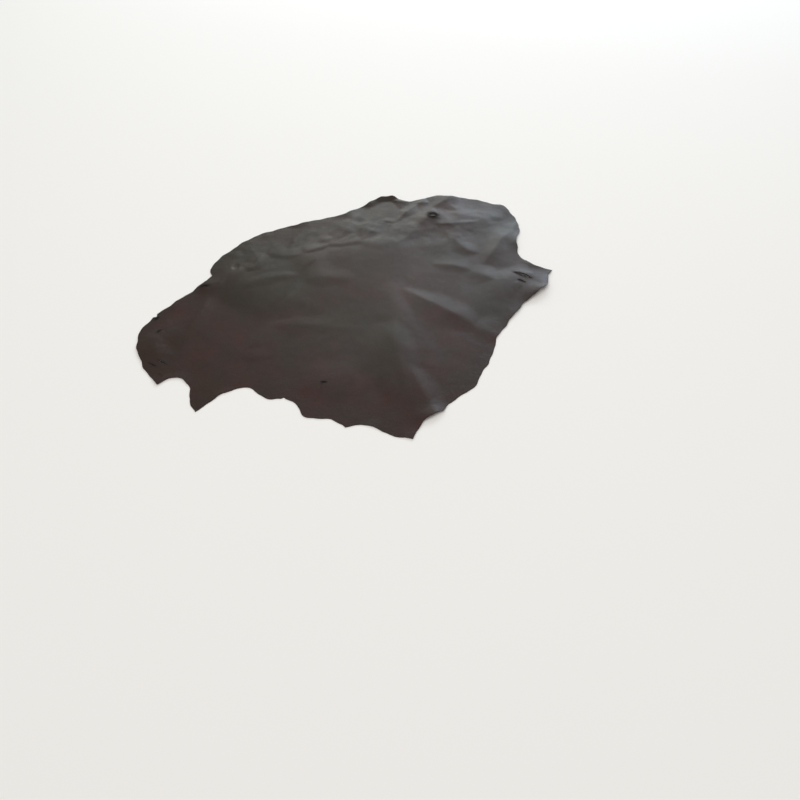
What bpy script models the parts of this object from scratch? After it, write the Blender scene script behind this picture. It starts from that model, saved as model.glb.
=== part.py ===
"""Leather hide: one whole dyed skin, laid out flat with the grain side up.

The skin is a single sheet of even thickness. Its underside rests on z = 0
wherever it touches the surface it lies on; between those places low swells,
soft folds and lifted edges raise it. The far margin is rumpled. +X runs along
the longer way of the skin, +Y away to the rumpled margin, +Z up, and the
origin is on the surface below the middle of the skin. Units are metres, and
the tables below are in millimetres.
"""

from collections import namedtuple

import bmesh
import bpy
import numpy as np
from mathutils import Vector
from mathutils.geometry import delaunay_2d_cdt

MM = 0.001

# Driving dimensions
THICKNESS = 1.3 * MM
RIM_STEP = 11 * MM          # spacing of the points along the rim
OPEN_SPACING = 21 * MM      # spacing of the points over the quiet middle
RUMPLE_SPACING = 13 * MM    # spacing of the points over the rumpled margin
RUMPLE_LINE = 165 * MM      # y beyond which the skin is rumpled, at x = 0
RUMPLE_SLOPE = 0.12         # how the line falls away towards -X
FOLD_SPACING = 17 * MM      # spacing of the points along a fold
FLANK_LINE = 0.6            # where on a fold's flank a row of points runs, as a share of its width
FLANK_GAP = 0.6             # least way from a crest to such a row, as a share of the spacing
CREST_GAP = 0.7             # least way between points of two folds, as a share of the spacing
LATTICE_GAP = 0.68          # least way from a lattice point to the others, as a share of the spacing
LATTICE_REACH = 0.56        # half the width of the lattice, which takes in the whole skin
RIM_INSET = 10 * MM         # how far inside the rim its second row of points runs
INSET_GAP = 0.85            # least way from that row to the rim, as a share of the inset
RIM_CLEARANCE = 6 * MM      # least way from an inner point to the rim
SLIT_CLEARANCE = 3.5 * MM   # least way from an inner point to a cut
SETTLE = 1.6 * MM           # how far the weight of the skin presses its shape down
TOUCH_BLEND = 2.5 * MM      # height over which a raised place eases down to the floor
MERGE = 4                   # power that joins overlapping folds: higher keeps their valleys sharper
WANDER = 4.5 * MM           # how far a crest strays from its plain course
WANDER_CELL = 48 * MM       # how long such a stray is
WANDER_SEEDS = (21, 22)
FOOT = 0.11                 # how softly a fold's flank meets the skin, as a share of its height
ARCH = 2.6                  # power of a crest's arch: higher keeps a fold level for longer
RUMPLE_ARCH = 1.4           # the same for rumples, which so come out as flat-sided peaks
FALL_POWER = 1.5            # how a lifted edge falls off inwards, and how the arch of a lip rises
ROUNDINGS = 2               # how often the knife's round corners are eased
MESH_TOLERANCE = 1e-6       # how near two points of the flat pattern are one
GRID = 64                   # corners along each side of a grid of random heights
GRID_TURN = (0.2, 1.3)      # least and most turn of such a grid, in radians
GRID_SHIFT = 1000           # cells that keep the places in a grid above zero
SHEET_COLOUR = (0.048, 0.033, 0.028, 1.0)
SHEET_ROUGHNESS = 0.5

# The rim, anticlockwise seen from above. A row is a corner and the stretch
# that leads on to the next row's corner. bulge is how far that stretch bows
# outwards, as a share of its length, and a bay has a negative one. crisp is 1
# at a pointed corner and 0 at one that the knife has rounded.
Corner = namedtuple("Corner", "name x y bulge crisp")
RIM = (
    Corner("left lobe, far side", -537, -130, 0.11, 0),
    Corner("left lobe, point", -454, -309, -0.18, 1),
    Corner("notch, head", -397, -291, 0.10, 0),
    Corner("notch, near side", -379, -312, 0.07, 0),
    Corner("near left point", -349, -397, -0.075, 1),
    Corner("arch, crown", -246, -317, -0.05, 0),
    Corner("arch, foot", -188, -359, 0.02, 0),
    Corner("near nick", -148, -356, -0.16, 1),
    Corner("near shelf, start", -110, -406, 0.06, 0),
    Corner("near shelf, end", -37, -416, -0.06, 0),
    Corner("near middle point", -5, -445, 0.0, 1),
    Corner("near wave", 41, -432, 0.03, 0),
    Corner("near tip, left", 120, -471, 0.06, 0),
    Corner("near tip", 147, -477, -0.10, 1),
    Corner("near right bay", 216, -394, -0.09, 1),
    Corner("right foot", 292, -329, -0.025, 0),
    Corner("right jog, near", 350, -202, 0.0, 0),
    Corner("right jog, far", 356, -165, -0.06, 0),
    Corner("right lobe, near side", 509, 40, -0.06, 0),
    Corner("right lobe, tip", 534, 115, -0.03, 1),
    Corner("right lobe, far side", 474, 143, -0.05, 0),
    Corner("right bay, near", 448, 178, -0.05, 0),
    Corner("right bay, far", 466, 303, 0.04, 0),
    Corner("far right corner", 432, 428, -0.03, 0),
    Corner("far dip, right", 352, 455, 0.04, 0),
    Corner("far lobe, right", 296, 468, 0.04, 0),
    Corner("far lobe, left", 222, 477, -0.03, 0),
    Corner("far dip, middle", 146, 445, -0.05, 0),
    Corner("far crest, right", 106, 468, 0.02, 0),
    Corner("far crest, left", 60, 470, -0.03, 0),
    Corner("far shoulder", -8, 410, -0.02, 0),
    Corner("far bend", -68, 371, 0.01, 0),
    Corner("far left slope", -201, 323, 0.04, 0),
    Corner("far left shoulder", -313, 258, 0.05, 0),
    Corner("far left corner", -397, 141, 0.08, 0),
    Corner("left step", -393, 92, -0.03, 1),
    Corner("left slope", -503, -55, 0.06, 0),
)

# Low swells that keep wide areas a little off the surface.
Swell = namedtuple("Swell", "name x y length width turn height")
SWELLS = (
    Swell("middle of the back", 130, -150, 190, 80, 97, 4),
    Swell("left field", -150, -10, 180, 90, 12, 2.4),
    Swell("left flank", -385, -60, 130, 55, 62, 3.5),
    Swell("right field", 345, -40, 120, 90, -32, 4),
    Swell("near left field", -225, -190, 120, 70, 20, 2.5),
    Swell("near right field", 235, -250, 100, 60, 40, 2.5),
    Swell("far left margin", -318, 160, 120, 70, 38, 1.3),
    Swell("far field", 200, 230, 200, 80, 2, 3),
    Swell("far right margin", 310, 340, 130, 90, 8, 6),
    Swell("left lobe", -486, -172, 90, 62, 72, 7.5),
    Swell("near hole", -62, -300, 90, 72, 0, 4.6),
    Swell("left slope cut", -404, 48, 34, 26, 38, 5),
    Swell("right lobe", 458, 78, 104, 80, 28, 11),
    Swell("round the shoulder cut", 204, 366, 38, 36, 10, 7.5),
)

# Long low hills. A row is a crest from one end to the other, bowed to its left
# by bow. left and right are the widths of its two flanks, seen along the
# crest, and round is the radius of its top.
Fold = namedtuple("Fold", "name x0 y0 x1 y1 bow height left right round")
HILLS = (
    Fold("shoulder hill, left", -372, 40, -96, 204, -8, 9, 140, 220, 24),
    Fold("shoulder hill, right", -190, 170, 160, 240, -4, 9, 200, 220, 30),
    Fold("left step hill", -424, 44, -284, 124, 0, 3.4, 76, 110, 12),
)

# Soft folds.
FOLDS = (
    Fold("shoulder ridge, left end", -392, 54, -296, 118, 2, 1.6, 40, 30, 5),
    Fold("shoulder ridge, left rise", -306, 104, -260, 188, -4, 2.6, 40, 26, 4),
    Fold("shoulder ridge, left", -262, 190, -160, 180, -4, 1.7, 80, 17, 5),
    Fold("shoulder ridge, rise", -146, 184, -78, 232, 3, 2.2, 66, 12, 3),
    Fold("shoulder ridge, middle", -104, 230, 34, 236, 2, 1.4, 60, 14, 4),
    Fold("shoulder ridge, right", -10, 232, 134, 240, 0, 1, 40, 24, 8),
    Fold("right ridge", 120, 42, 330, -128, 3, 5.2, 46, 72, 5),
    Fold("right ridge, end", 298, -100, 386, -164, 0, 4, 58, 56, 6),
    Fold("right lobe ridge", 200, 152, 330, 108, 5, 3.6, 42, 44, 4),
    Fold("right lobe ridge, middle", 298, 118, 378, 74, 2, 3.4, 46, 40, 6),
    Fold("right lobe ridge, end", 346, 86, 446, 42, 2, 2.6, 46, 74, 8),
    Fold("right soft ridge", 275, 262, 346, 192, -14, 2.8, 34, 28, 6),
    Fold("right facet", 344, 134, 472, 356, 0, 7, 46, 110, 2),
    Fold("back ridge, far", 90, 66, 117, -134, -2, 2.4, 60, 46, 16),
    Fold("back ridge, near", 102, -60, 152, -334, -10, 4.5, 36, 60, 8),
    Fold("back ridge, tail", 124, -262, 200, -422, -3, 4, 34, 56, 5),
    Fold("left field ridge", -302, 38, -150, 92, 16, 1.1, 16, 20, 6),
    Fold("middle ridge", -144, 70, 2, 80, 4, 1.2, 38, 26, 8),
    Fold("near field ridge", -214, -108, 30, -118, 3, 2, 30, 44, 8),
    Fold("near field ridge, low", -274, -224, -186, -216, 0, 1.4, 30, 20, 8),
    Fold("left ridge", -200, -84, -262, -200, 0, 1.6, 30, 14, 4),
    Fold("left flank ridge", -352, 100, -424, -196, -6, 3.6, 26, 60, 5),
    Fold("lobe ridge", -524, -140, -450, -280, 8, 2, 30, 30, 12),
    Fold("lobe pucker", -497, -206, -468, -186, 2, 1.8, 14, 10, 3),
)

# The rumpled margin: sharper, shorter folds that run slantwise up to the rim.
RUMPLES = (
    Fold("rumple 1", -350, 160, -330, 200, 2, 1.2, 24, 18, 3),
    Fold("rumple 3", -284, 266, -238, 282, 3, 1.8, 24, 16, 4),
    Fold("rumple 4", -200, 192, -162, 292, 3, 2.4, 15, 26, 3),
    Fold("rumple 5", -128, 232, -64, 264, 3, 2.4, 26, 20, 4),
    Fold("rumple 6", -64, 240, 4, 388, 4, 4.2, 50, 27, 3),
    Fold("rumple 7", 4, 236, 74, 346, 3, 3.4, 58, 24, 3),
    Fold("rumple 8", 60, 354, 132, 344, -3, 2.8, 26, 14, 3),
    Fold("rumple 9", 98, 332, 182, 446, 2, 5.2, 30, 26, 2),
    Fold("rumple 10", 90, 446, 150, 446, 0, 6, 14, 44, 3),
    Fold("rumple 11", 158, 437, 212, 441, 0, 4.4, 24, 42, 4),
    Fold("rumple 12", 112, 236, 216, 378, 3, 4.8, 86, 50, 2),
    Fold("rumple 13", 200, 232, 262, 246, 4, 1.2, 20, 30, 3),
    Fold("rumple 14", 222, 322, 346, 340, 4, 1.9, 62, 16, 3),
    Fold("rumple 15", 208, 408, 298, 488, 0, 7, 66, 84, 3),
    Fold("rumple 16", 282, 334, 308, 424, 2, 3.6, 44, 60, 3),
    Fold("rumple 18", 350, 384, 432, 356, 4, 1, 30, 24, 4),
)

# Troughs between them, with depths for heights.
HOLLOWS = (
    Fold("back trough", 66, 60, 40, -426, 20, -1.6, 46, 40, 20),
    Fold("left crease", -116, 150, -194, -24, -2, -1.3, 18, 16, 4),
    Fold("left crease, near", -182, 4, -226, -128, 0, -0.8, 20, 18, 6),
    Fold("left flank trough", -408, 60, -456, -126, 0, -1.2, 26, 28, 12),
    Fold("near crease", -298, -232, -324, -354, 6, -0.9, 12, 14, 4),
    Fold("pit in the shoulder", -346, 124, -324, 125, 0, -1.6, 15, 12, 4),
    Fold("far pocket", 188, 266, 258, 264, 0, -1.9, 50, 34, 4),
    Fold("far hollow", 40, 390, 92, 396, 2, -2.4, 18, 14, 5),
    Fold("right hollow", 300, 264, 326, 296, 0, -1.6, 24, 20, 6),
)

# Crumpled places: flat facets between straight creases. size is a facet's size.
Crumple = namedtuple("Crumple", "name x y length width turn height size")
CRUMPLES = (
    Crumple("far margin", 60, 320, 300, 95, 6, 1.4, 44),
    Crumple("far left margin", -290, 190, 130, 75, 40, 1.1, 38),
    Crumple("far right margin", 340, 300, 110, 110, 0, 1.6, 46),
    Crumple("left lobe", -480, -200, 80, 70, 60, 0.9, 34),
    Crumple("right lobe", 460, 90, 80, 80, 0, 1, 36),
    Crumple("whole skin", 0, -60, 700, 500, 0, 0.5, 130),
)

# Lifted edges: height at the rim, how far inwards the lift reaches, and how
# far it runs along the rim to either side of its middle.
Lift = namedtuple("Lift", "name x y height reach run")
LIFTS = (
    Lift("notch", -405, -294, 4, 34, 42),
    Lift("lobe side of the notch", -455, -305, 4, 34, 30),
    Lift("arch, left of the crown", -300, -345, 3.5, 34, 46),
    Lift("near middle", 55, -440, 2.5, 30, 34),
    Lift("near tip", 146, -474, 3, 24, 26),
    Lift("near right bay", 192, -408, 5, 30, 34),
    Lift("right lobe, near side", 492, 26, 10, 36, 44),
    Lift("right side, middle", 410, -60, 3, 26, 44),
    Lift("right lobe, far side", 480, 140, 4, 26, 30),
    Lift("right bay", 450, 240, 4, 22, 34),
    Lift("far right corner", 430, 410, 4, 30, 40),
    Lift("far lobe", 268, 466, 4, 30, 40),
    Lift("far dip", 190, 458, 4, 28, 34),
    Lift("far crest", 98, 470, 10, 36, 18),
    Lift("far crest, left end", 60, 470, 10, 38, 28),
    Lift("far crest, start", 24, 438, 7, 32, 24),
    Lift("far shoulder", -40, 390, 5, 28, 40),
    Lift("far left slope, middle", -180, 331, 5, 26, 40),
    Lift("far left slope, end", -330, 232, 2, 26, 38),
    Lift("left slope", -470, -18, 3, 24, 40),
)

# Cuts that go through the skin, as long pointed openings. lip is the height to
# which the far side of a cut curls up, or its near side where it is negative.
Slit = namedtuple("Slit", "name x0 y0 x1 y1 bow width lip")
SLITS = (
    Slit("long cut", 426, 103, 473, 74, 4, 5.6, 2.5),
    Slit("short cut", 433, 71, 455, 56, 1, 4.4, -0.8),
    Slit("shoulder cut", 201, 364, 231, 370, 2, 7.5, 9),
    Slit("near hole", -68, -304, -56, -305, 0, 2.4, -2),
    Slit("left slope cut", -415, 43, -392, 47, 1, 4, -2.5),
)
LIP_REACH = 17 * MM         # how far back from a cut its lip curls
SLIT_SIDES = 5              # points along each side of a cut, ends left out

# Small waves that a hand-held knife leaves along the rim.
Wave = namedtuple("Wave", "length height phase")
KNIFE_WAVES = (
    Wave(173, 1.6, 0.4),
    Wave(71, 1.3, 2.1),
    Wave(38, 0.8, 5.0),
)


def stretch_points(start, end, bulge):
    """Points from start up to, not including, end, on a shallow arc."""
    chord = end - start
    length = np.linalg.norm(chord)
    count = max(int(round(length / RIM_STEP)), 1)
    along = np.arange(count)[:, None] / count
    outward = np.array([chord[1], -chord[0]])
    return start + chord * along + outward * bulge * 4 * along * (1 - along)


def knife_waves(rim):
    """The rim with each point moved sideways by the knife's small waves."""
    ahead = np.roll(rim, -1, axis=0)
    behind = np.roll(rim, 1, axis=0)
    tangent = ahead - behind
    tangent /= np.linalg.norm(tangent, axis=1, keepdims=True)
    outward = np.column_stack([tangent[:, 1], -tangent[:, 0]])
    steps = np.linalg.norm(ahead - rim, axis=1)
    run = np.concatenate([[0.0], np.cumsum(steps)[:-1]])
    total = steps.sum()
    shift = np.zeros(len(rim))
    for wave in KNIFE_WAVES:
        turns = max(round(total / (wave.length * MM)), 1)
        shift += wave.height * MM * np.sin(2 * np.pi * turns * run / total + wave.phase)
    return rim + outward * shift[:, None]


def rim_points():
    """The whole rim as a closed run of points, its round corners eased."""
    corners = np.array([(row.x, row.y) for row in RIM]) * MM
    points = []
    crisp = []
    for index, row in enumerate(RIM):
        stretch = stretch_points(corners[index], corners[(index + 1) % len(RIM)], row.bulge)
        points.append(stretch)
        crisp += [row.crisp == 1] + [False] * (len(stretch) - 1)
    rim = np.vstack(points)
    keep = np.array(crisp)[:, None]
    for _ in range(ROUNDINGS):
        eased = (np.roll(rim, 1, axis=0) + 2 * rim + np.roll(rim, -1, axis=0)) / 4
        rim = np.where(keep, rim, eased)
    return knife_waves(rim)


def slit_points(slit):
    """A closed pointed oval from one end of a cut to the other, anticlockwise."""
    start = np.array([slit.x0, slit.y0]) * MM
    end = np.array([slit.x1, slit.y1]) * MM
    chord = end - start
    left = np.array([-chord[1], chord[0]]) / np.linalg.norm(chord)
    along = np.linspace(0, 1, SLIT_SIDES + 2)
    arch = 4 * along * (1 - along)
    middle = start + chord * along[:, None] + left * (slit.bow * MM * arch)[:, None]
    half = left * (slit.width * MM / 2 * arch)[:, None]
    return np.vstack([middle - half, (middle + half)[-2:0:-1]])


def inside(points, loop):
    """Which points lie inside a closed loop, by counting crossings."""
    x, y = points[:, :1], points[:, 1:]
    x0, y0 = loop[:, 0], loop[:, 1]
    x1, y1 = np.roll(x0, -1), np.roll(y0, -1)
    spans = (y0 > y) != (y1 > y)
    rise = np.where(y1 == y0, 1.0, y1 - y0)
    crossing = x0 + (y - y0) / rise * (x1 - x0)
    return (spans & (x < crossing)).sum(axis=1) % 2 == 1


def distance_to(points, loop):
    """Shortest way from each point to a closed loop of short straight sides."""
    side = np.roll(loop, -1, axis=0) - loop
    away = points[:, None] - loop[None]
    share = (away * side).sum(-1) / (side * side).sum(-1)
    nearest = away - side * np.clip(share, 0, 1)[..., None]
    return np.sqrt((nearest * nearest).sum(-1).min(axis=1))


def eased(share):
    """0 below 0, 1 above 1, and a smooth step between."""
    share = np.clip(share, 0, 1)
    return share * share * (3 - 2 * share)


def grid_corners(points, cell, seed, slanted):
    """Each point's place in its cell of a turned grid, and the cell's four random heights."""
    draw = np.random.default_rng(seed)
    heights = draw.uniform(-1, 1, (GRID, GRID))
    turn = draw.uniform(*GRID_TURN)
    x = points @ np.array([np.cos(turn), np.sin(turn)]) / cell + GRID_SHIFT
    y = points @ np.array([-np.sin(turn), np.cos(turn)]) / cell + GRID_SHIFT
    if slanted:
        y = y * 2 / np.sqrt(3)
        x = x - y / 2
    i, j = np.floor(x).astype(int), np.floor(y).astype(int)
    share_x, share_y = x - i, y - j
    i, j, beside, beyond = i % GRID, j % GRID, (i + 1) % GRID, (j + 1) % GRID
    corners = heights[i, j], heights[beside, j], heights[i, beyond], heights[beside, beyond]
    return share_x, share_y, *corners


def unevenness(points, cell, seed):
    """Smooth random heights from -1 to 1."""
    x, y, here, right, beyond, across = grid_corners(points, cell, seed, False)
    x, y = eased(x), eased(y)
    return (here * (1 - x) + right * x) * (1 - y) + (beyond * (1 - x) + across * x) * y


def facets(points, cell, seed):
    """Random heights from -1 to 1, joined by flat triangles with straight creases."""
    x, y, here, right, beyond, across = grid_corners(points, cell, seed, True)
    near = here + x * (right - here) + y * (beyond - here)
    far = across + (1 - y) * (right - across) + (1 - x) * (beyond - across)
    return np.where(x + y < 1, near, far)


def strayed(points):
    """The points moved a little each way, which makes the crests wander."""
    shift = [unevenness(points, WANDER_CELL, seed) for seed in WANDER_SEEDS]
    return points + WANDER * np.column_stack(shift)


def on_line(points, row):
    """Each point's share of the way along a row's bowed line, and its distance to the left of it."""
    start = np.array([row.x0, row.y0]) * MM
    chord = np.array([row.x1, row.y1]) * MM - start
    length = np.linalg.norm(chord)
    away = points - start
    along = away @ chord / length**2
    left = away @ np.array([-chord[1], chord[0]]) / length - row.bow * MM * 4 * along * (1 - along)
    return along, left


def fold_height(points, fold, power=ARCH):
    """Height of one fold: evenly sloping flanks with a soft foot, under a crest with arched ends."""
    along, left = on_line(points, fold)
    width = np.where(left > 0, fold.left, fold.right) * MM
    radius = fold.round * MM
    arch = 1 - np.abs(2 * along - 1) ** power
    tent = arch - (np.sqrt(left**2 + radius**2) - radius) / width
    return fold.height * MM * FOOT * np.logaddexp(0, tent / FOOT)


def swell_height(points, swell):
    """Height of one long low swell, highest in its middle."""
    turn = np.radians(swell.turn)
    away = points - np.array([swell.x, swell.y]) * MM
    along = away @ np.array([np.cos(turn), np.sin(turn)]) / (swell.length * MM)
    across = away @ np.array([-np.sin(turn), np.cos(turn)]) / (swell.width * MM)
    return swell.height * MM * np.exp(-(along**2) - across**2)


def lift_height(points, to_rim, lift):
    """Height of one lifted edge, which falls off inwards and along the rim."""
    away = np.linalg.norm(points - np.array([lift.x, lift.y]) * MM, axis=1)
    inwards = np.exp(-((to_rim / (lift.reach * MM)) ** FALL_POWER))
    return lift.height * MM * inwards * np.exp(-((away / (lift.run * MM)) ** 2))


def lip_height(points, slit):
    """Height of a cut's lip, which curls up most midway along the cut and eases back behind it."""
    along, left = on_line(points, slit)
    back = left * np.sign(slit.lip)
    arch = np.clip(4 * along * (1 - along), 0, 1) ** FALL_POWER
    curl = abs(slit.lip) * MM * arch * np.exp(-np.maximum(back, 0) / LIP_REACH)
    return np.where(back > 0, curl, 0)


def underside_height(points, rim):
    """Height of the underside over the surface, exactly 0 where it touches."""
    to_rim = distance_to(points, rim)
    moved = strayed(points)
    height = -SETTLE * np.ones(len(points))
    height += sum(swell_height(points, swell) for swell in SWELLS)
    height += sum(fold_height(points, hill) for hill in HILLS)
    joined = sum(fold_height(moved, fold) ** MERGE for fold in FOLDS)
    joined += sum(fold_height(moved, rumple, RUMPLE_ARCH) ** MERGE for rumple in RUMPLES)
    height += joined ** (1 / MERGE)
    height += sum(fold_height(moved, hollow) for hollow in HOLLOWS)
    for seed, row in enumerate(CRUMPLES):
        height += swell_height(points, row) * facets(moved, row.size * MM, seed)
    height += sum(lift_height(points, to_rim, lift) for lift in LIFTS)
    height += sum(lip_height(points, slit) for slit in SLITS)
    raised = np.maximum(height, 0)
    return raised * raised / (raised + TOUCH_BLEND)


def fold_lines(fold, spacing):
    """Points along a fold's crest and along its flanks, where those are wide."""
    start = np.array([fold.x0, fold.y0]) * MM
    chord = np.array([fold.x1, fold.y1]) * MM - start
    length = np.linalg.norm(chord)
    along = np.linspace(0, 1, max(int(length / spacing), 2))[:, None]
    left = np.array([-chord[1], chord[0]]) / length
    crest = start + chord * along + left * fold.bow * MM * 4 * along * (1 - along)
    lines = [crest]
    for side in (fold.left, -fold.right):
        shift = FLANK_LINE * side * MM
        if abs(shift) > FLANK_GAP * spacing:
            lines.append(crest + left * shift)
    return np.vstack(lines)


def lattice(spacing):
    """A triangular lattice of points over the whole skin."""
    rows = []
    rise = spacing * np.sqrt(3) / 2
    for index, y in enumerate(np.arange(-LATTICE_REACH, LATTICE_REACH, rise)):
        x = np.arange(-LATTICE_REACH, LATTICE_REACH, spacing) + spacing / 2 * (index % 2)
        rows.append(np.column_stack([x, np.full(len(x), y)]))
    return np.vstack(rows)


def rumpled(points):
    """Which points lie in the rumpled margin."""
    return points[:, 1] > RUMPLE_LINE + RUMPLE_SLOPE * points[:, 0]


def apart(points, others, gap):
    """The points that are at least gap away from every one of the others."""
    away = np.linalg.norm(points[:, None] - others[None], axis=-1).min(axis=1)
    return points[away > gap]


def rim_inset(rim):
    """A second row of points just inside the rim, so that lifted edges bend."""
    tangent = np.roll(rim, -1, axis=0) - np.roll(rim, 1, axis=0)
    tangent /= np.linalg.norm(tangent, axis=1, keepdims=True)
    inset = rim + RIM_INSET * np.column_stack([-tangent[:, 1], tangent[:, 0]])
    return inset[distance_to(inset, rim) > INSET_GAP * RIM_INSET]


def inner_points(rim, slits):
    """Points inside the rim: its inset row, then the folds, then a lattice."""
    points = rim_inset(rim)
    for fold in FOLDS + RUMPLES:
        spacing = RUMPLE_SPACING if fold in RUMPLES else FOLD_SPACING
        points = np.vstack([points, apart(fold_lines(fold, spacing), points, CREST_GAP * spacing)])
    for spacing, dense in ((RUMPLE_SPACING, True), (OPEN_SPACING, False)):
        grid = lattice(spacing)
        grid = grid[rumpled(grid) == dense]
        points = np.vstack([points, apart(grid, points, LATTICE_GAP * spacing)])
    points = points[inside(points, rim)]
    clear = distance_to(points, rim) > RIM_CLEARANCE
    for loop in slits:
        clear &= ~inside(points, loop) & (distance_to(points, loop) > SLIT_CLEARANCE)
    return points[clear]


def loop_edges(count, first):
    """Index pairs that join count points in a ring."""
    return [(first + i, first + (i + 1) % count) for i in range(count)]


def flat_skin(rim, slits):
    """The cut outline as flat triangles: points, and faces without the cuts."""
    points = [rim]
    edges = loop_edges(len(rim), 0)
    for loop in slits:
        edges += loop_edges(len(loop), sum(len(block) for block in points))
        points.append(loop)
    points.append(inner_points(rim, slits))
    flat = [Vector(point) for point in np.vstack(points)]
    verts, _, faces, _, _, _ = delaunay_2d_cdt(flat, edges, [], 1, MESH_TOLERANCE)
    verts = np.array([tuple(vert) for vert in verts])
    middles = np.array([verts[list(face)].mean(axis=0) for face in faces])
    open_there = np.zeros(len(faces), bool)
    for loop in slits:
        open_there |= inside(middles, loop)
    return verts, [face for face, hole in zip(faces, open_there) if not hole]


def make_sheet(verts, heights, faces):
    """The skin's underside as one mesh, its faces up."""
    form = bmesh.new()
    made = [form.verts.new((x, y, z)) for (x, y), z in zip(verts, heights)]
    for face in faces:
        form.faces.new([made[index] for index in face])
    bmesh.ops.recalc_face_normals(form, faces=form.faces)
    if sum(face.normal.z for face in form.faces) < 0:
        bmesh.ops.reverse_faces(form, faces=form.faces)
    mesh = bpy.data.meshes.new("hide")
    form.to_mesh(mesh)
    form.free()
    return mesh


def hide_material():
    """Dark brown dyed leather, half matt."""
    material = bpy.data.materials.new("dyed leather")
    material.use_nodes = True
    shader = material.node_tree.nodes["Principled BSDF"]
    shader.inputs["Base Color"].default_value = SHEET_COLOUR
    shader.inputs["Roughness"].default_value = SHEET_ROUGHNESS
    shader.inputs["Metallic"].default_value = 0.0
    material.diffuse_color = SHEET_COLOUR
    return material


def make_hide(collection):
    """The whole skin, given its thickness upwards from its underside."""
    rim = rim_points()
    slits = [slit_points(slit) for slit in SLITS]
    verts, faces = flat_skin(rim, slits)
    heights = underside_height(verts, rim)
    middle = (verts.min(axis=0) + verts.max(axis=0)) / 2
    hide = bpy.data.objects.new("hide", make_sheet(verts - middle, heights, faces))
    hide.data.materials.append(hide_material())
    collection.objects.link(hide)
    body = hide.modifiers.new("thickness", "SOLIDIFY")
    body.thickness = THICKNESS
    body.offset = 1.0
    body.use_even_offset = True
    hide.data.shade_smooth()
    return hide


def main():
    for obj in list(bpy.data.objects):
        bpy.data.objects.remove(obj, do_unlink=True)
    collection = bpy.data.collections.new("leather hide")
    bpy.context.scene.collection.children.link(collection)
    make_hide(collection)


main()
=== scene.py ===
# One whole dyed leather hide, laid out flat with the grain side up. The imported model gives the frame;
# the skin that shows is worked out here as a fine closed sheet on the same outline, folds and cuts.
import math

import bpy
import numpy as np
from mathutils.geometry import delaunay_2d_cdt
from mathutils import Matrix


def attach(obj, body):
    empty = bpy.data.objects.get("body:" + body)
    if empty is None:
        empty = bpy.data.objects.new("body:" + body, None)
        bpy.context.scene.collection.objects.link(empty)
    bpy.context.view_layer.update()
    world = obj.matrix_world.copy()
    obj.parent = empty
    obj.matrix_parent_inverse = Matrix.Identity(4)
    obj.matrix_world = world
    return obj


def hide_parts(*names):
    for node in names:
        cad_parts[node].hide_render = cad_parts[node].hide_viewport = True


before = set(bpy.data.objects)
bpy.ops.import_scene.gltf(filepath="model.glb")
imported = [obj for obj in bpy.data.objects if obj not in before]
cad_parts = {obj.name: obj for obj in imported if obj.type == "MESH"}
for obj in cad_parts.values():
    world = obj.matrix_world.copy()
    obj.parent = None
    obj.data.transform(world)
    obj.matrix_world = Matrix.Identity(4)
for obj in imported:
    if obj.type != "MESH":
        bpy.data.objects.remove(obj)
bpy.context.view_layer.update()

mm = 0.001

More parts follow.
